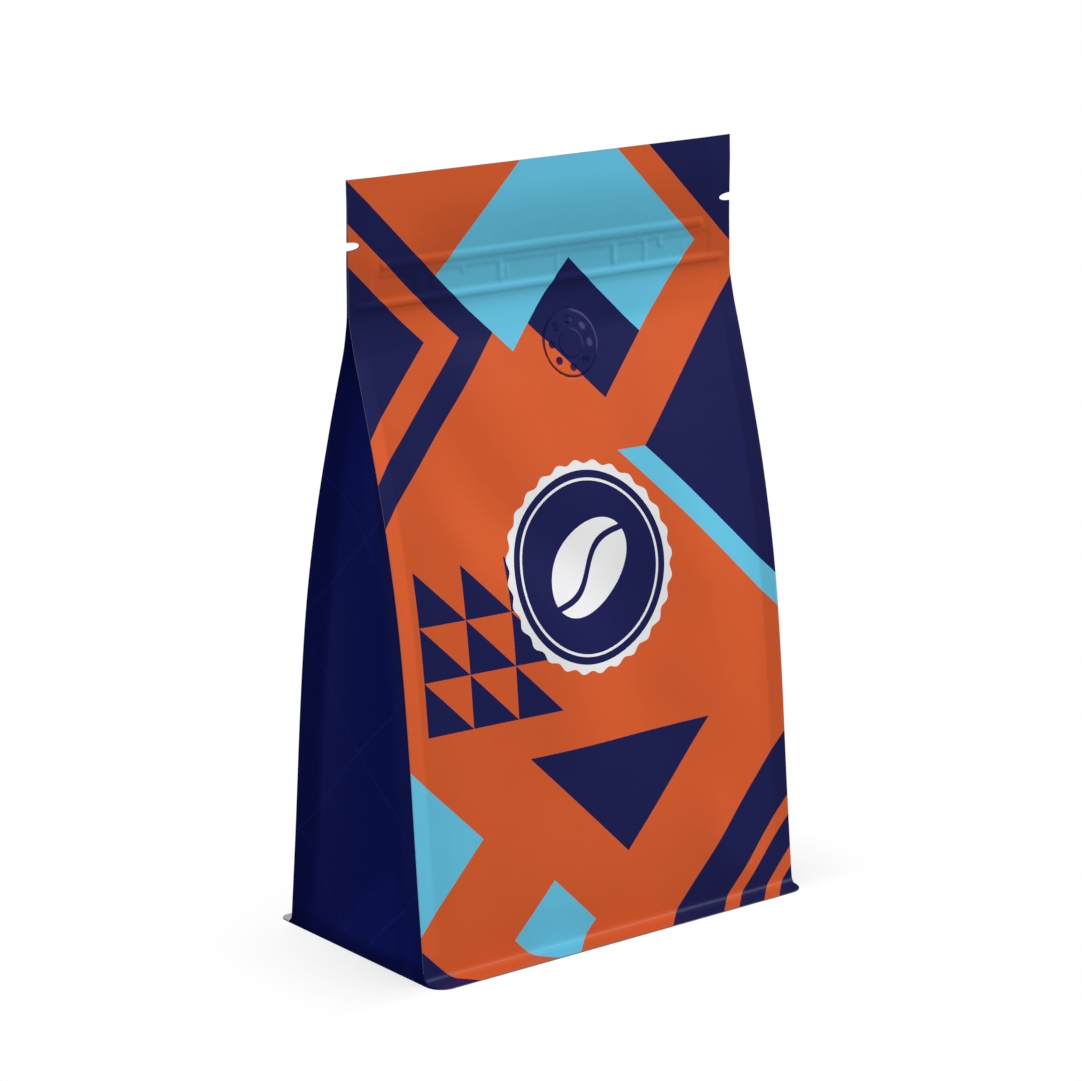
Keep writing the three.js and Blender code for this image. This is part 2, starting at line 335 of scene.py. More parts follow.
def swell_relief(x, z, swells):
    """Soft swellings where the contents press on the film, between the two creases."""
    rise = np.zeros(np.broadcast(x, z).shape)
    for middle_x, middle_z, lean, length, width, top in swells:
        a = math.radians(lean)
        along = (x - middle_x) * math.sin(a) - (z - middle_z) * math.cos(a)
        across = (x - middle_x) * math.cos(a) + (z - middle_z) * math.sin(a)
        rise += top * np.exp(-((along / length) ** 2) - (across / width) ** 2)
    inside = fade_out(np.abs(x), CREASE_X - SWELL_SIDE, CREASE_X)
    return rise * inside * fade_in(z, *SWELL_FOOT_SPAN) * fade_out(z, *SWELL_TOP_SPAN)


def top_lean(x, z):
    """How far the flat top's middle layer stands in front of the middle plane."""
    side = np.abs(x)
    lean = LEAN * (fade_in(z, *LEAN_SPAN) - LEAN_DIP * fade_in(z, *LEAN_DIP_SPAN))
    margin = MARGIN_X - MARGIN_SPREAD * fade_in(z, *MARGIN_SPREAD_SPAN)
    curl = MARGIN_CURL * np.maximum(side - margin, 0) * fade_in(z, *MARGIN_CURL_SPAN)
    return lean * (1 - LEAN_SIDE_LOSS * fade_in(side, 0, LEAN_SIDE_REACH)) - curl


def panel_depth(x, z, front=True):
    """Distance of a panel's outer face from the middle plane."""
    from_edge = HALF_WIDTH - np.abs(x)
    dip = curve_through(SEAL_DROP_KNOTS, z) * np.clip(from_edge / EDGE_SEAL, 0, 1)
    across = np.clip(np.abs(x) / CREASE_X, 0, 1)
    crown = curve_through(CROWN_KNOTS, z) * (1 - across**2)
    swells = FRONT_SWELLS if front else BACK_SWELLS
    panel = curve_through(DEPTH_KNOTS, z) - dip + crown
    panel = panel + zip_relief(x, z) + swell_relief(x, z, swells)
    panel = panel + top_lean(x, z) * (1 if front else -1)
    if front:
        from_valve = np.hypot(x - VALVE_X, z - VALVE_Z)
        panel = panel - SEAT_DROP * fade_out(from_valve, SEAT_RADIUS - SEAT_EDGE, SEAT_RADIUS)
    return panel + (LIP_EDGE - panel) * lip_share(z)


def facet_relief(y, z):
    """The triangular facet at a gusset's foot, which leans out towards the floor."""
    apex_y, apex_z = FACET_APEX
    tall = apex_z - FOOT_BAND
    back_leg = (FACET_BACK_FOOT - y) / (FACET_BACK_FOOT - apex_y) * tall + FOOT_BAND - z
    front_leg = (y - FACET_FRONT_FOOT) / (apex_y - FACET_FRONT_FOOT) * tall + FOOT_BAND - z
    below = np.minimum(back_leg, front_leg * FACET_FRONT_SLOPE)
    soft = np.sqrt(np.maximum(below, 0) ** 2 + FACET_SOFTNESS**2) - FACET_SOFTNESS
    return FACET_RISE * np.clip(soft / tall, 0, 1) * fade_in(z, 0, FOOT_BAND)


def gusset_crease(half_depth):
    """Distance from the middle plane to the crease between a gusset's strip and its face."""
    return half_depth - np.minimum(GUSSET_STRIP, GUSSET_STRIP_SHARE * half_depth)


def gusset_point(share, z, half_depth):
    """Place on the right gusset's face, for a share from -1 at its front crease to 1."""
    set_in = curve_through(GUSSET_SET_IN_KNOTS, z)
    bow = curve_through(GUSSET_BOW_KNOTS, z)
    out = np.where(bow > 0, 1 - share**2, 1 - np.abs(share) ** FOLD_IN_POWER)
    y = share * gusset_crease(half_depth)
    facet = facet_relief(y, z) * fade_out(np.abs(share), 1 - FACET_SIDE_SHARE, 1)
    return edge_half_width(z) - set_in + bow * out + facet, y


def film_levels():
    """Heights of the film's levels, as a column: flange, bend, body, notches and top."""
    flange = np.linspace(LIP_THICKNESS, LIP_ROOT, FLANGE_LEVELS)
    quarter = np.linspace(0, 0.5, BEND_STEPS + 1)[1:] * math.pi
    bend = LIP_ROOT + LIP_BEND * (1 - np.cos(quarter))
    body = [np.linspace(low, high, steps + 1)[1:] for low, high, steps in LEVEL_STRETCHES]
    across = np.sin(np.linspace(-0.5, 0.5, NOTCH_LEVELS) * math.pi)
    notch = NOTCH_HEIGHT + NOTCH_HALF_TALL * across
    top = np.linspace(TOP_FIRST_LEVEL, HEIGHT, TOP_LEVELS)
    return np.concatenate([[0.0], flange, bend, *body, notch, top])[:, None]


def panel_columns(count):
    """Places across a panel: -1 to 1 between the two creases, and out to 2 at the edges."""
    inner = np.linspace(-1, 1, count)[1:-1]
    near = 1 - CREASE_ROUND / CREASE_X
    strip = 1 + np.linspace(0, 1, STRIP_STEPS + 1)[1:]
    return np.concatenate([-strip[::-1], [-1, -near], inner, [near, 1], strip])


def panel_rows(q, z, front):
    """Panel points, levels by columns, for places q from left to right as seen from outside."""
    radius = corner_radius(z, LIP_CORNER if front else LIP_CORNER_BACK)
    side = np.abs(q)
    strip = edge_half_width(z) - radius - CREASE_X
    x = np.where(side <= 1, q * CREASE_X, np.sign(q) * (CREASE_X + (side - 1) * strip))
    x = x if front else -x
    y = panel_depth(x, z, front)
    return x, -y if front else y


def strip_between(start, end):
    """Places on the straight strip from a column of places to another, both left out."""
    return start + (end - start) * np.linspace(0, 1, GUSSET_STRIP_STEPS + 1)[1:-1]


def side_rows(z, front_depth, back_depth):
    """Right side from the front panel's edge to the back panel's edge: corner, gusset, corner."""
    radius = corner_radius(z, LIP_CORNER)
    back_radius = corner_radius(z, LIP_CORNER_BACK)
    angles = np.linspace(0, 1, CORNER_STEPS + 1)[1:] * math.pi / 2
    edge = edge_half_width(z)
    front_x = edge - radius + radius * np.sin(angles)
    front_y = -(front_depth - radius) - radius * np.cos(angles)
    back_x = edge - back_radius + back_radius * np.sin(angles[::-1])
    back_y = back_depth - back_radius + back_radius * np.cos(angles[::-1])
    half_depth = (front_depth + back_depth) / 2 - radius
    x, y = gusset_point(np.linspace(-1, 1, GUSSET_COLUMNS), z, half_depth)
    y = y + (back_depth - front_depth) / 2
    return (
        np.hstack([front_x, strip_between(front_x[:, -1:], x[:, :1]), x,
                   strip_between(x[:, -1:], back_x[:, :1]), back_x]),
        np.hstack([front_y, strip_between(front_y[:, -1:], y[:, :1]), y,
                   strip_between(y[:, -1:], back_y[:, :1]), back_y]),
    )


# Bake layout: a square of ATLAS mm, and where the origin of each zone's flat print lies in it.
# The zones are in the order of the film's outline. The cut edge at the top lies above the
# underside, by TOP_CAP_SHIFT.
ATLAS = 470.0
ZONES = {"front": (78.0, 12.0), "right": (430.0, 12.0), "back": (232.0, 12.0), "left": (350.0, 12.0)}
CAP_ZONE = (78.0, 300.0)
TOP_CAP_SHIFT = 60.0
# In the order of the materials that add_pouch gives to the film
MATERIALS = ("front", "back", "gusset", "edge", "base")
EDGE = MATERIALS.index("edge")


def film_outline(z):
    """The film's outline at each level, levels by places, and the strips of each zone.

    The outline starts in the middle of the left front corner and runs by the front, the right
    side, the back and the left side. Half of each corner belongs to the panel beside it.
    """
    front_x, front_y = panel_rows(panel_columns(FRONT_COLUMNS), z, True)
    back_x, back_y = panel_rows(panel_columns(BACK_COLUMNS), z, False)
    right_x, right_y = side_rows(z, -front_y[:, -1:], back_y[:, :1])
    x = np.hstack([front_x, right_x, back_x, -right_x[:, ::-1]])
    y = np.hstack([front_y, right_y, back_y, right_y[:, ::-1]])
    front, side, back = front_x.shape[1], right_x.shape[1], back_x.shape[1]
    over = 2 * HALF_CORNER - 1
    ends = np.cumsum([front + over, side - over, back + over, side - over])
    zones = dict(zip(ZONES, zip([0, *ends[:-1]], ends)))
    return np.roll(x, HALF_CORNER, 1), np.roll(y, HALF_CORNER, 1), zones


def arc_heights(levels):
    """Print height of each level: the film's own length, measured down over the foot lip."""
    depth = panel_depth(np.zeros(len(levels)), levels)
    step = np.hypot(np.diff(levels), np.diff(depth))
    run = np.concatenate([np.cumsum(step[::-1])[::-1], [0.0]])
    knee = np.searchsorted(levels, LIP_TOP)
    return np.where(levels > levels[knee], levels, levels[knee] - (run - run[knee]))


def film_quads(rows, columns):
    """The film's faces, strip by strip, as point numbers."""
    low = np.arange(rows - 1) * columns
    here = np.arange(columns)[:, None]
    there = (here + 1) % columns
    high = low + columns
    return np.stack([low + here, low + there, high + there, high + here], -1).reshape(-1, 4)


def film_print(x, y, heights, zones):
    """Print places and bake places of the quads' corners. Each zone is printed flat."""
    prints, bakes = [], []
    v = np.stack([heights[:-1], heights[:-1], heights[1:], heights[1:]], -1)
    for (zone, (first, last)), across in zip(zones.items(), (x, y, -x, -y)):
        strips = np.arange(first, last)
        left = across[:, strips].T
        right = np.take(across, strips + 1, axis=1, mode="wrap").T
        u = np.stack([left[:, :-1], right[:, :-1], right[:, 1:], left[:, 1:]], -1)
        place = np.stack([u, np.broadcast_to(v, u.shape)], -1).reshape(-1, 2)
        prints.append(place)
        bakes.append((place + ZONES[zone]) / ATLAS)
    return np.concatenate(prints), np.concatenate(bakes)


def film_kinds(z, columns, zones):
    """Material number of each quad: the zone's film, or the cut edge of its seals."""
    kinds = np.full((columns, len(z) - 1), MATERIALS.index("gusset"))
    upright = z[:-1, 0] > LIP_TOP
    for panel in ("front", "back"):
        first, last = zones[panel]
        kinds[first:last] = MATERIALS.index(panel)
        kinds[first:last, 0] = EDGE
        for turned in (range(first, first + HALF_CORNER - 1), range(last - HALF_CORNER + 1, last)):
            kinds[np.ix_(turned, upright)] = EDGE
    return kinds.ravel()


def panel_painted_shading(x, y, z):
    """Painted light and shade on a panel: painted shade over the foot seal and, in front, along the
    sides.
    """
    front = y < 0
    level = curve_through(PANEL_PAINTED_SHADING_KNOTS, z)
    for spot_x, spot_z, wide, tall, change in PAINTED_LIGHT_AND_SHADE_SPOTS:
        spot = np.exp(-(((x - spot_x) / wide) ** 2) - ((z - spot_z) / tall) ** 2)
        level = level * (1 + change * spot * front)
    body = fade_in(z, *ACROSS_FOOT_SPAN) * fade_out(z, *ACROSS_TOP_SPAN)
    return level * (1 + (curve_through(PANEL_PAINTED_SHADING_ACROSS, x) - 1) * body * front)


def gusset_painted_shading(y, z):
    """Painted shade along a gusset's seals and foot, painted light on its foot's facet and near its
    top.
    """
    crease = gusset_crease(curve_through(DEPTH_KNOTS, z))
    back_run = fade_in(y - crease, -STRIP_SHADE_EDGE, STRIP_SHADE_EDGE)
    front_run = fade_in(-y - crease, -STRIP_SHADE_EDGE, STRIP_SHADE_EDGE)
    front_run = front_run * fade_in(z, *FRONT_STRIP_SPAN)
    strip_shade = 1 - BACK_STRIP_PAINTED_SHADE * back_run - FRONT_STRIP_PAINTED_SHADE * front_run
    foot_shade = 1 - FOOT_BAND_PAINTED_SHADE * fade_out(z, *FOOT_BAND_EDGE)
    facet = facet_relief(y, np.maximum(z, FOOT_BAND))
    facet = 1 + FACET_PAINTED_LIGHT * fade_in(facet, 0, FACET_LIGHT_RISE)
    return strip_shade * foot_shade * facet * curve_through(GUSSET_PAINTED_LIGHT_KNOTS, z)


def film_painted_shading(x, y, z, zones):
    """Painted light and shade at each point of the film's walls."""
    painted_shading = panel_painted_shading(x, y, z)
    for side in ("right", "left"):
        first, last = zones[side]
        painted_shading[:, first + 1:last] = gusset_painted_shading(y[:, first + 1:last], z)
    return painted_shading.ravel()


def underside(x, y, first_point):
    """Rings drawn in from the foot's outline, as points and faces, with one last face."""
    here = np.arange(len(x))
    there = np.roll(here, -1)
    points, faces = [], []
    outer = 0
    inner = first_point
    for inset, lift in BASE_STEPS:
        ring = [x * (1 - inset / HALF_WIDTH), y * (1 - inset / LIP_EDGE), np.full(len(x), lift)]
        points.append(np.stack(ring, -1))
        quads = [outer + here, inner + here, inner + there, outer + there]
        faces += np.stack(quads, -1).tolist()
        outer = inner
        inner += len(x)
    faces.append((outer + here[::-1]).tolist())
    return np.concatenate(points), faces


def make_mesh(name, points, faces, kinds, materials, uv_maps, painted_shading):
    """A smooth-shaded mesh object; points are in mm, with the painted light and shade at each point.
    """
    mesh = bpy.data.meshes.new(name)
    mesh.from_pydata((points * MM).tolist(), [], faces)
    # Painted light and shade, kept on the points for the material to multiply the print by
    layer = mesh.attributes.new(name="painted_shading", type="FLOAT", domain="POINT")
    layer.data.foreach_set("value", painted_shading.astype(np.float32))
    for map_name, values in uv_maps.items():
        uv_layer = mesh.uv_layers.new(name=map_name)
        uv_layer.data.foreach_set("uv", values.astype(np.float32).ravel())
    for material in materials:
        mesh.materials.append(material)
    mesh.polygons.foreach_set("material_index", np.asarray(kinds, np.int32))
    mesh.polygons.foreach_set("use_smooth", np.ones(len(faces), bool))
    mesh.update()
    mesh.set_sharp_from_angle(angle=SHARP_ANGLE)
    obj = bpy.data.objects.new(name, mesh)
    bpy.context.scene.collection.objects.link(obj)
    return obj


def film_object(materials):
    """The whole film: the walls, the underside and the cut edge of the sealed top."""
    z = film_levels()
    x, y, zones = film_outline(z)
    rows, columns = x.shape
    walls = np.stack([x, y, np.broadcast_to(z, x.shape)], -1).reshape(-1, 3)
    prints, bakes = film_print(x, y, arc_heights(z[:, 0]), zones)

    base_points, caps = underside(x[0], y[0], len(walls))
    points = np.concatenate([walls, base_points])
    cap_kinds = [MATERIALS.index("base")] * len(caps) + [EDGE]
    caps.append(list(range((rows - 1) * columns, rows * columns)))
    cap_corners = points[np.concatenate(caps)]
    cap_bakes = cap_corners[:, :2] + CAP_ZONE
    cap_bakes[cap_corners[:, 2] > HEIGHT / 2, 1] += TOP_CAP_SHIFT

    maps = {
        "OFBake": np.concatenate([bakes, cap_bakes / ATLAS]),
        "print": np.concatenate([prints, cap_corners[:, :2]]) * MM,
    }
    faces = film_quads(rows, columns).tolist() + caps
    kinds = [*film_kinds(z, columns, zones), *cap_kinds]
    painted_shading = np.concatenate([film_painted_shading(x, y, z, zones), np.ones(len(base_points))])
    return make_mesh("printed_film", points, faces, kinds, materials, maps, painted_shading)


# Places that the valve's seat is measured at: beside it for the lean, and round its rim
SEAT_BESIDE = 12.0
SEAT_STEP = 0.5 * VALVE_RADIUS
SEAT_PLACES = 24


def valve_place():
    """Place and turn of the valve: it lies on the front panel and leans with it."""
    heights = VALVE_Z + np.array([-SEAT_STEP, SEAT_STEP])
    low, high = panel_depth(np.full(2, VALVE_X + SEAT_BESIDE), heights)
    lean = math.atan2(low - high, 2 * SEAT_STEP)
    angles = np.linspace(0, 2 * math.pi, SEAT_PLACES, endpoint=False)
    across = VALVE_RADIUS * np.cos(angles)
    up = VALVE_RADIUS * np.sin(angles)
    rim = panel_depth(VALVE_X + across, VALVE_Z + up * math.cos(lean)) + up * math.sin(lean)
    turn = Matrix.Rotation(math.pi / 2 - lean, 4, "X")
    return Matrix.Translation((VALVE_X, -float(rim.mean()), VALVE_Z)) @ turn


def hole_middles():
    """Angle and place of each hole's middle on the valve's face."""
    for k in range(HOLES):
        angle = HOLE_TURN + 2 * math.pi * k / HOLES
        yield angle, HOLE_CIRCLE * math.cos(angle), HOLE_CIRCLE * math.sin(angle)


def valve_height(x, y):
    """Height of the film over the valve: a bevelled disc, a boss, and tilted holes."""
    radius = np.hypot(x, y)
    bevel = np.clip((VALVE_RADIUS - radius) / VALVE_BEVEL, 0, 1)
    rise = VALVE_PROUD * bevel**VALVE_BEVEL_POWER
    half = BOSS_BEVEL / 2
    rise = rise + BOSS_RISE * fade_out(radius, BOSS_RADIUS - half, BOSS_RADIUS + half)
    for angle, middle_x, middle_y in hole_middles():
        dx = x - middle_x
        dy = y - middle_y
        outward = dx * math.cos(angle) + dy * math.sin(angle)
        inside = fade_out(np.hypot(dx, dy), HOLE_RADIUS - HOLE_EDGE, HOLE_RADIUS)
        rise = rise - inside * HOLE_TILT * outward
    return rise


def valve_object(material):
    """The film over the valve, as rings from its middle out to a skirt under the panel."""
    bevel_start = VALVE_RADIUS - VALVE_BEVEL
    disc = np.linspace(VALVE_FIRST_RING, bevel_start, VALVE_DISC_RINGS)
    bevel = VALVE_RADIUS - VALVE_BEVEL * np.linspace(1, 0, VALVE_BEVEL_RINGS + 1)[1:]
    radii = np.concatenate([disc, bevel])[:, None]
    angles = np.linspace(0, 2 * math.pi, VALVE_SEGMENTS, endpoint=False)
    x, y = radii * np.cos(angles), radii * np.sin(angles)
    face = np.stack([x, y, valve_height(x, y)], -1).reshape(-1, 3)
    skirt = np.stack([x[-1], y[-1], np.full(VALVE_SEGMENTS, -VALVE_SKIRT)], -1)
    points = np.concatenate([face, skirt])

    ring = np.arange(VALVE_SEGMENTS)
    start = np.arange(len(radii))[:, None] * VALVE_SEGMENTS
    near, there = start + ring, start + np.roll(ring, -1)
    quads = np.stack([near, near + VALVE_SEGMENTS, there + VALVE_SEGMENTS, there], -1)
    bottom = len(face) + ring[::-1]
    faces = [ring.tolist(), *quads.reshape(-1, 4).tolist(), bottom.tolist()]

    place = valve_place()
    placed = np.array([place @ Vector(point) for point in points])
    corners = np.concatenate(faces)
    bakes = points[corners][:, :2] / (VALVE_ATLAS_RADII * VALVE_RADIUS) + 0.5
    # the hidden bottom takes a small corner of the layout
    bakes[-VALVE_SEGMENTS:] *= HIDDEN_ATLAS_SHARE
    maps = {"OFBake": bakes, "print": placed[corners][:, [0, 2]] * MM}
    kinds = [0] * len(faces)
    return make_mesh("valve_cover", placed, faces, kinds, [material], maps, np.ones(len(points)))


# Sockets that a mix node uses for colours
MIX_FACTOR = 0
MIX_A = 6
MIX_B = 7
MIX_COLOUR = 2


class Calc:
    """Formulas on the sockets of one material's or world's node tree."""

    def __init__(self, owner):
        owner.use_nodes = True
        self.tree = owner.node_tree
        self.nodes = self.tree.nodes

    def node(self, kind, **values):
        made = self.nodes.new(kind)
        for key, value in values.items():
            setattr(made, key, value)
        return made

    def link(self, source, target):
        """Set a socket to a number or a colour, or link it to a field or another socket."""
        if isinstance(source, (int, float)):
            target.default_value = source
        elif isinstance(source, tuple):
            target.default_value = (*source, 1.0)
        else:
            self.tree.links.new(source.socket if isinstance(source, Field) else source, target)

    def op(self, kind, *inputs):
        made = self.node("ShaderNodeMath", operation=kind)
        for value, socket in zip(inputs, made.inputs):
            self.link(value, socket)
        return Field(self, made.outputs[0])

    def split(self, vector):
        """The three numbers of a place."""
        made = self.node("ShaderNodeSeparateXYZ")
        self.link(vector, made.inputs[0])
        return [Field(self, socket) for socket in made.outputs]

    def object_place(self):
        """Place in the object's own frame in metres."""
        return self.split(self.node("ShaderNodeTexCoord").outputs["Object"])

    def print_place(self):
        """Place on the flat film in mm: across, and up from the foot."""
        across, up, _ = self.split(self.node("ShaderNodeUVMap", uv_map="print").outputs[0])
        return across / MM, up / MM

    def mix(self, factor, a, b, blend="MIX"):
        """Colour a where the factor is 0, and b where it is 1."""
        made = self.node("ShaderNodeMix", data_type="RGBA", blend_type=blend)
        self.link(factor, made.inputs[MIX_FACTOR])
        self.link(a, made.inputs[MIX_A])
        self.link(b, made.inputs[MIX_B])
        return made.outputs[MIX_COLOUR]

    def ramp(self, value, low, high, top=1.0):
        """0 at low to top at high, with soft ends."""
        made = self.node("ShaderNodeMapRange", interpolation_type="SMOOTHSTEP")
        self.link(value, made.inputs["Value"])
        made.inputs["From Min"].default_value = low
        made.inputs["From Max"].default_value = high
        made.inputs["To Max"].default_value = top
        return Field(self, made.outputs["Result"])

    def noise(self, scale, detail, roughness):
        made = self.node("ShaderNodeTexNoise")
        made.inputs["Scale"].default_value = scale
        made.inputs["Detail"].default_value = detail
        made.inputs["Roughness"].default_value = roughness
        self.link(self.node("ShaderNodeTexCoord").outputs["Object"], made.inputs["Vector"])
        return Field(self, made.outputs["Fac"])

    def vary(self, middle, noise, change):
        """A number that a noise moves up and down about its middle."""
        return self.noise(*noise) * change + (middle - change / 2)


class Field:
    """One number that varies over the surface."""

    def __init__(self, calc, socket):
        self.calc = calc
        self.socket = socket

    def __add__(self, other):
        return self.calc.op("ADD", self, other)

    def __sub__(self, other):
        return self.calc.op("SUBTRACT", self, other)

    def __rsub__(self, other):
        return self.calc.op("SUBTRACT", other, self)

    def __mul__(self, other):
        return self.calc.op("MULTIPLY", self, other)

    def __truediv__(self, other):
        return self.calc.op("DIVIDE", self, other)

    def __abs__(self):
        return self.calc.op("ABSOLUTE", self)

    def below(self, other):
        return self.calc.op("LESS_THAN", self, other)

    def above(self, other):
        return self.calc.op("GREATER_THAN", self, other)

    def part(self, size):
        """Share of the way through a repeat of this size."""
        return self.calc.op("FRACT", self / size)


# Prints, in mm on the flat film. A diamond is given by its middle's x and height and by half
# its size; on a side edge only half of it shows, as a triangle.
TOP_DIAMOND = (8.0, 196.0, 48.0)
VALVE_DIAMOND = (8.0, 172.0, 24.0)
LEFT_NEST = (-HALF_WIDTH, 178.0)
LEFT_NEST_SIZES = (48.0, 36.0, 24.0)
RIGHT_WEDGE = (HALF_WIDTH, 140.0)
RIGHT_WEDGE_SIZES = (54.0, 44.0)
LEFT_TRIANGLE = (-HALF_WIDTH, 38.0, 24.0)
FOOT_DIAMOND = (-22.0, 6.0, 15.0)
# Saw-tooth block: its middle, half its size and the size of a tooth
SAW_BLOCK = (-39.0, 93.6, 23.4, 15.6)
# Hanging triangle: middle x, height of its flat top, half its width at the top
HANGING_TRIANGLE = (6.0, 58.0, 34.0)
# Slanted lines, by x less height or x plus height
BAR_EDGES = (22.0, 42.0, 48.0, 58.0, 64.0)
VALVE_DIAMOND_CUT = 170.0
TOP_CORNER = 264.0
FOOT_CORNER = -60.0

# Badge: a disc with lobes, a plain field, a thin ring, and a bean with a wavy crease
BADGE_X = -0.6
BADGE_HEIGHT = 108.9
BADGE_RADIUS = 30.0
BADGE_LOBES = 28.0
LOBE_RISE = 0.55
FIELD_RADIUS = 27.6
RING_RADII = (24.6, 25.4)
BEAN_TURN = math.radians(38)
BEAN_HALF_LONG = 16.49
BEAN_HALF_WIDE = 11.31
BEAN_CREASE_WAVE = 2.6
BEAN_CREASE_RATE = 0.2
BEAN_CREASE_HALF_WIDE = 1.0

# Back: a nested diamond, a half diamond on each side, a row of slanted bars and the foot band
BACK_DIAMOND = (0.0, 150.0)
BACK_DIAMOND_SIZES = (58.0, 30.0)
BACK_SIDE_HEIGHT = 60.0
BACK_SIDE_SIZE = 36.0
BACK_BARS_HEIGHT = 28.0
BACK_BARS_HALF_TALL = 8.0
BACK_BAR_STEP = 16.0
BACK_BAR_WIDE = 6.0
BACK_FOOT_BAND = 10.0

# Gussets: thin faint lines of a diamond lattice
LATTICE_STEP = 62.0
LATTICE_LINE = 0.3
LATTICE_COVER = 0.35
# Added to keep a repeat's places positive
REPEAT_SHIFT = 400.0


def diamond(x, v, middle_x, middle_v, half):
    """1 inside a square that stands on its corner, and 0 outside."""
    return (abs(x - middle_x) + abs(v - middle_v)).below(half)


def saw_teeth(x, v):
    """A square block of right-angled triangles."""
    middle_x, middle_v, half, tooth = SAW_BLOCK
    left, foot = middle_x - half, middle_v - half
    teeth = ((x - left).part(tooth) + (v - foot).part(tooth)).below(1.0)
    return teeth * abs(x - middle_x).below(half) * abs(v - middle_v).below(half)


def front_print(calc):
    """Triangles, diamonds and slanted bars at 45 degrees, and a round badge with a bean."""
    x, v = calc.print_place()
    total, less = x + v, x - v
    outer, middle, inner = LEFT_NEST_SIZES
    wedge_edge, wedge = RIGHT_WEDGE_SIZES
    hang_x, hang_top, hang_half = HANGING_TRIANGLE
    valve_diamond = diamond(x, v, *VALVE_DIAMOND)
    nest_gap = diamond(x, v, *LEFT_NEST, middle) - diamond(x, v, *LEFT_NEST, inner)
    hanging = (abs(x - hang_x) - v + hang_top).below(hang_half) * v.below(hang_top)
    first, first_end, second, second_end, third = (less.above(edge) for edge in BAR_EDGES)
    layers = (
        (diamond(x, v, *TOP_DIAMOND), BLUE),
        (valve_diamond, NAVY),
        (valve_diamond * total.below(VALVE_DIAMOND_CUT), ORANGE),
        (diamond(x, v, *LEFT_NEST, outer), NAVY),
        (nest_gap, ORANGE),
        (total.above(TOP_CORNER), NAVY),
        (diamond(x, v, *RIGHT_WEDGE, wedge_edge) * v.below(RIGHT_WEDGE[1]), BLUE),
        (diamond(x, v, *RIGHT_WEDGE, wedge), NAVY),
        (saw_teeth(x, v), NAVY),
        (diamond(x, v, *LEFT_TRIANGLE), BLUE),
        (hanging, NAVY),
        (first - first_end + second - second_end + third, NAVY),
        (diamond(x, v, *FOOT_DIAMOND), BLUE),
        (total.below(FOOT_CORNER), NAVY),
    )
    colour = ORANGE
    for mask, paint in layers:
        colour = calc.mix(mask, colour, paint)
    return badge(calc, x, v, colour)


def badge(calc, x, v, colour):
    """The badge over a print's colour."""
    bx, bv = x - BADGE_X, v - BADGE_HEIGHT
    radius = calc.op("SQRT", bx * bx + bv * bv)
    lobes = calc.op("COSINE", calc.op("ARCTAN2", bv, bx) * BADGE_LOBES) * LOBE_RISE
    colour = calc.mix((radius - lobes).below(BADGE_RADIUS), colour, WHITE)
    colour = calc.mix(radius.below(FIELD_RADIUS), colour, NAVY)
    ring = radius.above(RING_RADII[0]) * radius.below(RING_RADII[1])
    colour = calc.mix(ring, colour, WHITE)
    along = bx * math.cos(BEAN_TURN) + bv * math.sin(BEAN_TURN)
    across = bv * math.cos(BEAN_TURN) - bx * math.sin(BEAN_TURN)
    oval = along * along / BEAN_HALF_LONG**2 + across * across / BEAN_HALF_WIDE**2
    crease = abs(across - calc.op("SINE", along * BEAN_CREASE_RATE) * BEAN_CREASE_WAVE)
    bean = oval.below(1.0) * crease.above(BEAN_CREASE_HALF_WIDE)
    return calc.mix(bean, colour, WHITE)


def back_print(calc):
    """A nested diamond, half diamonds at the sides, slanted bars and a pale foot band."""
    x, v = calc.print_place()
    outer, inner = BACK_DIAMOND_SIZES
    bars = (x + v + REPEAT_SHIFT).part(BACK_BAR_STEP).below(BACK_BAR_WIDE / BACK_BAR_STEP)
    layers = (
        (diamond(x, v, *BACK_DIAMOND, outer), NAVY),
        (diamond(x, v, *BACK_DIAMOND, inner), BLUE),
        (diamond(x, v, HALF_WIDTH, BACK_SIDE_HEIGHT, BACK_SIDE_SIZE), NAVY),
        (diamond(x, v, -HALF_WIDTH, BACK_SIDE_HEIGHT, BACK_SIDE_SIZE), BLUE),
        (bars * abs(v - BACK_BARS_HEIGHT).below(BACK_BARS_HALF_TALL), NAVY),
        (v.below(BACK_FOOT_BAND), PALE),
    )
    colour = ORANGE
    for mask, paint in layers:
        colour = calc.mix(mask, colour, paint)
    return colour


def gusset_print(calc):
    """Plain navy with a few faint lines of a diamond lattice, and the back lip's pale corner."""
    x, v = calc.print_place()
    lines = 0.0
    for slant in (x + v, x - v):
        from_line = abs((slant + REPEAT_SHIFT).part(LATTICE_STEP) - 0.5)
        lines = from_line.below(LATTICE_LINE / LATTICE_STEP) + lines
    colour = calc.mix(lines * LATTICE_COVER, GUSSET_NAVY, GUSSET_LINE)
    _, y, z = calc.object_place()
    lip_corner = y.above((LIP_EDGE - LIP_CORNER) * MM) * z.below(LIP_TOP * MM)
    return calc.mix(lip_corner, colour, PALE)


# Painted light and shade on the valve's relief: a painted highlight on the side towards this angle,
# painted shade elsewhere, with the change between two cosines of the angle from there
VALVE_HIGHLIGHT_TOWARDS = math.radians(29)
VALVE_HIGHLIGHT_CHANGE = (0.52, 0.8)
VALVE_PAINTED_SHADE = (0.0060, 0.0078, 0.056)
VALVE_PAINTED_HIGHLIGHT = (0.044, 0.044, 0.118)
RIM_COVER = 0.75
BOSS_COVER = 0.6
BOSS_HALF_LINE = 0.22
HOLE_COVER = 0.91
# The painted light and shade over a hole fades between these shares of its area
HOLE_FADE = (1.15, 0.85)
# The valve leans, so its height is this share of its width
VALVE_LEAN_SHARE = 0.97
# Keeps a division by the radius from failing in the valve's middle
SMALL_RADIUS = 0.01


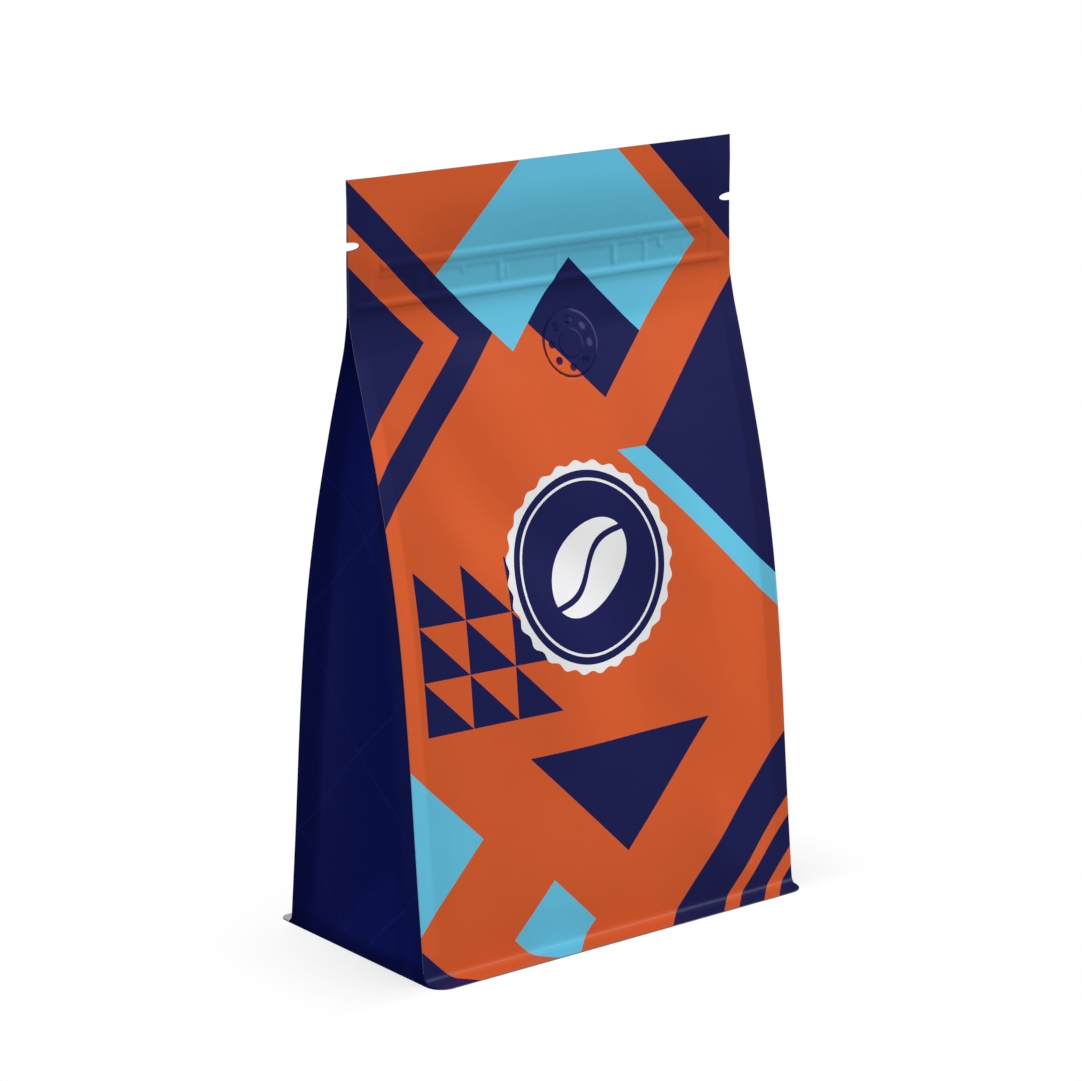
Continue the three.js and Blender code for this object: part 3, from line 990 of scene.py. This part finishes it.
def valve_print(calc):
    """The front print, with painted shade and highlights where the valve's relief presses into it.
    """
    x, v = calc.print_place()
    colour = front_print(calc)
    dx, dv = x - VALVE_X, (v - VALVE_Z) / VALVE_LEAN_SHARE
    radius = calc.op("SQRT", dx * dx + dv * dv)
    towards = dx * math.cos(VALVE_HIGHLIGHT_TOWARDS) + dv * math.sin(VALVE_HIGHLIGHT_TOWARDS)
    facing = towards / (radius + SMALL_RADIUS)
    valve_light_and_shade = calc.mix(calc.ramp(facing, *VALVE_HIGHLIGHT_CHANGE), VALVE_PAINTED_SHADE, VALVE_PAINTED_HIGHLIGHT)
    holes = 0.0
    for _, middle_x, middle_v in hole_middles():
        hx, hv = dx - middle_x, dv - middle_v
        holes = calc.ramp(hx * hx + hv * hv, *(k * HOLE_RADIUS**2 for k in HOLE_FADE)) + holes
    rim = radius.above(VALVE_RADIUS - VALVE_BEVEL)
    boss = abs(radius - BOSS_RADIUS).below(BOSS_HALF_LINE)
    # Painted light and shade over the rim, the boss's line and the holes
    for mask, cover in ((rim, RIM_COVER), (boss, BOSS_COVER), (holes, HOLE_COVER)):
        colour = calc.mix(mask * cover, colour, valve_light_and_shade)
    return colour


def film_colour(calc, colour):
    """The print, with a slight mottle, times the painted light and shade that its mesh carries."""
    painted_shading = calc.node("ShaderNodeAttribute", attribute_name="painted_shading").outputs["Fac"]
    level = calc.vary(1.0, INK_NOISE, INK_CHANGE) * painted_shading
    grey = calc.node("ShaderNodeCombineColor")
    for socket in grey.inputs:
        calc.link(level, socket)
    return calc.mix(1.0, colour, grey.outputs[0], "MULTIPLY")


def film_height(calc, sloped):
    """Fine grain and waviness in metres and, near the top, the film's slope."""
    grain = calc.noise(*GRAIN_NOISE) * (GRAIN_RISE * MM)
    height = grain + calc.noise(*WAVE_NOISE) * (WAVE_RISE * MM)
    if sloped:
        _, v = calc.print_place()
        height = height + calc.ramp(v, *TOP_SLOPE_SPAN, TOP_SLOPE * MM)
    return height


def film_material(name, paint, roughness=FILM_ROUGHNESS, specular=FILM_SPECULAR, sloped=False):
    """Satin printed film: the print, fine waviness, and a roughness that varies a little."""
    material = bpy.data.materials.new(name)
    calc = Calc(material)
    shader = calc.nodes["Principled BSDF"]
    colour = paint(calc) if callable(paint) else paint
    calc.link(film_colour(calc, colour), shader.inputs["Base Color"])
    gloss = calc.vary(roughness, GLOSS_NOISE, GLOSS_CHANGE)
    calc.link(gloss, shader.inputs["Roughness"])
    shader.inputs["Specular IOR Level"].default_value = specular
    bump = calc.node("ShaderNodeBump")
    bump.inputs["Strength"].default_value = 1.0
    bump.inputs["Distance"].default_value = 1.0
    calc.link(film_height(calc, sloped), bump.inputs["Height"])
    calc.link(bump.outputs[0], shader.inputs["Normal"])
    return material


# Cut edge of the film's sealed layers
CUT_DARK = (0.09, 0.09, 0.10)
CUT_PALE = (0.17, 0.16, 0.18)
CUT_LAYERS = (400.0, 3.0, 0.5)
CUT_ROUGHNESS = 0.6
CUT_GLOSS_NOISE = (150.0, 2.0, 0.5)
CUT_GLOSS_CHANGE = 0.2
CUT_SPECULAR = 0.2


def edge_material():
    """The cut edge of the sealed layers: greyish and matte, with the layers showing."""
    material = bpy.data.materials.new("cut_film_edge")
    calc = Calc(material)
    shader = calc.nodes["Principled BSDF"]
    layers = calc.noise(*CUT_LAYERS)
    calc.link(calc.mix(layers, CUT_DARK, CUT_PALE), shader.inputs["Base Color"])
    gloss = calc.vary(CUT_ROUGHNESS, CUT_GLOSS_NOISE, CUT_GLOSS_CHANGE)
    calc.link(gloss, shader.inputs["Roughness"])
    shader.inputs["Specular IOR Level"].default_value = CUT_SPECULAR
    return material


# Camera, fitted to the photograph: place in mm, turn and tilt in degrees
CAMERA_PLACE = (-675.995, -851.729, 393.526)
CAMERA_TURN = 38.3683
CAMERA_TILT = 14.4887
FOCAL_PIXELS = 3828.67
IMAGE_WIDTH = 1082
SENSOR = 36.0
CLIP_START = 0.05
CLIP_END = 30.0


def add_camera():
    data = bpy.data.cameras.new("camera")
    data.sensor_width = SENSOR
    data.lens = FOCAL_PIXELS / IMAGE_WIDTH * SENSOR
    data.clip_start = CLIP_START
    data.clip_end = CLIP_END
    camera = bpy.data.objects.new("camera", data)
    bpy.context.scene.collection.objects.link(camera)
    camera.location = Vector(CAMERA_PLACE) * MM
    camera.rotation_euler = (math.radians(90 - CAMERA_TILT), 0, -math.radians(CAMERA_TURN))
    bpy.context.scene.camera = camera


# Soft square lights: name, azimuth, elevation, distance and side in metres, power, and
# whether reflections show them. Azimuth 0 is in front and 90 at the right.
LIGHTS = (
    ("key", 53.0, 38.5, 4.2, 1.7, 276.0, True),
    ("fill", -101.0, 16.0, 3.2, 1.4, 50.0, False),
    ("back", 168.0, 30.0, 4.2, 1.7, 170.0, False),
)
LIGHTS_AIM = Vector((0, 0, 0.11))
WORLD_LIGHT = (0.27, 0.27, 0.27)
WORLD_GLOSS = (0.06, 0.06, 0.06)
WORLD_SEEN = (1.0, 1.0, 1.0)


def add_light(name, azimuth, elevation, distance, side, power, glossy):
    data = bpy.data.lights.new(name, "AREA")
    data.size = side
    data.energy = power
    light = bpy.data.objects.new(name, data)
    bpy.context.scene.collection.objects.link(light)
    a, e = math.radians(azimuth), math.radians(elevation)
    away = Vector((math.sin(a) * math.cos(e), -math.cos(a) * math.cos(e), math.sin(e)))
    light.location = LIGHTS_AIM + away * distance
    light.rotation_mode = "QUATERNION"
    light.rotation_quaternion = away.to_track_quat("Z", "Y")
    light.visible_glossy = glossy


def add_world():
    """Even light from all sides, dimmer in reflections, and white where it is seen."""
    world = bpy.data.worlds.new("studio")
    bpy.context.scene.world = world
    calc = Calc(world)
    path = calc.node("ShaderNodeLightPath")
    colour = calc.mix(path.outputs["Is Glossy Ray"], WORLD_LIGHT, WORLD_GLOSS)
    colour = calc.mix(path.outputs["Is Camera Ray"], colour, WORLD_SEEN)
    calc.link(colour, calc.nodes["Background"].inputs[0])


# Floor in metres: white, with a soft shadow where it meets the pouch. The shadow fades in
# from the front edge back, and its depth changes by SHADOW_SLOPE per metre along x and y.
FLOOR_HALF = 5.0
FLOOR_STEPS = 20
FLOOR_WHITE = (1.0, 1.0, 1.0)
FLOOR_DIFFUSE = (0.15, 0.15, 0.15)
SHADOW = (0.55, 0.55, 0.56)
SHADOW_REACH = 0.04
SHADOW_SAMPLES = 16
SHADOW_DEPTH = 0.66
SHADOW_SLOPE = (-0.3, -8.0)
SHADOW_START = (-(LIP_EDGE + 1) * MM, -(LIP_EDGE - 6) * MM)


def floor_mesh():
    ticks = np.linspace(-FLOOR_HALF, FLOOR_HALF, FLOOR_STEPS + 1)
    points = [(x, y, 0.0) for y in ticks for x in ticks]
    n = FLOOR_STEPS + 1
    faces = [[k * n + i, k * n + i + 1, (k + 1) * n + i + 1, (k + 1) * n + i]
             for k in range(FLOOR_STEPS) for i in range(FLOOR_STEPS)]
    mesh = bpy.data.meshes.new("studio_floor")
    mesh.from_pydata(points, [], faces)
    return mesh


def floor_material():
    """White with a shadow where the camera sees it, and a dull grey for the light."""
    material = bpy.data.materials.new("studio_floor")
    calc = Calc(material)
    calc.nodes.remove(calc.nodes["Principled BSDF"])
    near = calc.node("ShaderNodeAmbientOcclusion", samples=SHADOW_SAMPLES)
    near.inputs["Distance"].default_value = SHADOW_REACH
    x, y, _ = calc.object_place()
    covered = (1.0 - Field(calc, near.outputs["AO"])) * calc.ramp(y, *SHADOW_START)
    depth = x * SHADOW_SLOPE[0] + y * SHADOW_SLOPE[1] + SHADOW_DEPTH
    glow = calc.node("ShaderNodeEmission")
    calc.link(calc.mix(1.0 - covered * depth, SHADOW, FLOOR_WHITE), glow.inputs["Color"])
    dull = calc.node("ShaderNodeBsdfDiffuse")
    calc.link(FLOOR_DIFFUSE, dull.inputs["Color"])
    pick = calc.node("ShaderNodeMixShader")
    calc.link(calc.node("ShaderNodeLightPath").outputs["Is Camera Ray"], pick.inputs[0])
    calc.link(dull.outputs[0], pick.inputs[1])
    calc.link(glow.outputs[0], pick.inputs[2])
    calc.link(pick.outputs[0], calc.nodes["Material Output"].inputs["Surface"])
    return material


def add_floor():
    floor = bpy.data.objects.new("studio_floor", floor_mesh())
    bpy.context.scene.collection.objects.link(floor)
    floor.data.materials.append(floor_material())


def add_pouch():
    front = film_material("front_print", front_print, sloped=True)
    back = film_material("back_print", back_print, sloped=True)
    gusset = film_material("gusset_print", gusset_print, specular=GUSSET_SPECULAR)
    base = film_material("base_film", GUSSET_NAVY)
    film = film_object([front, back, gusset, edge_material(), base])
    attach(film, "root")
    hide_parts("pouch")


def add_valve():
    cover = film_material("valve_print", valve_print, VALVE_ROUGHNESS, VALVE_SPECULAR)
    valve = valve_object(cover)
    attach(valve, "root")
    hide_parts("degassing_valve")


def main():
    bpy.context.scene.view_settings.view_transform = "Standard"
    add_camera()
    add_world()
    add_floor()
    for light in LIGHTS:
        add_light(*light)
    add_pouch()
    add_valve()


main()
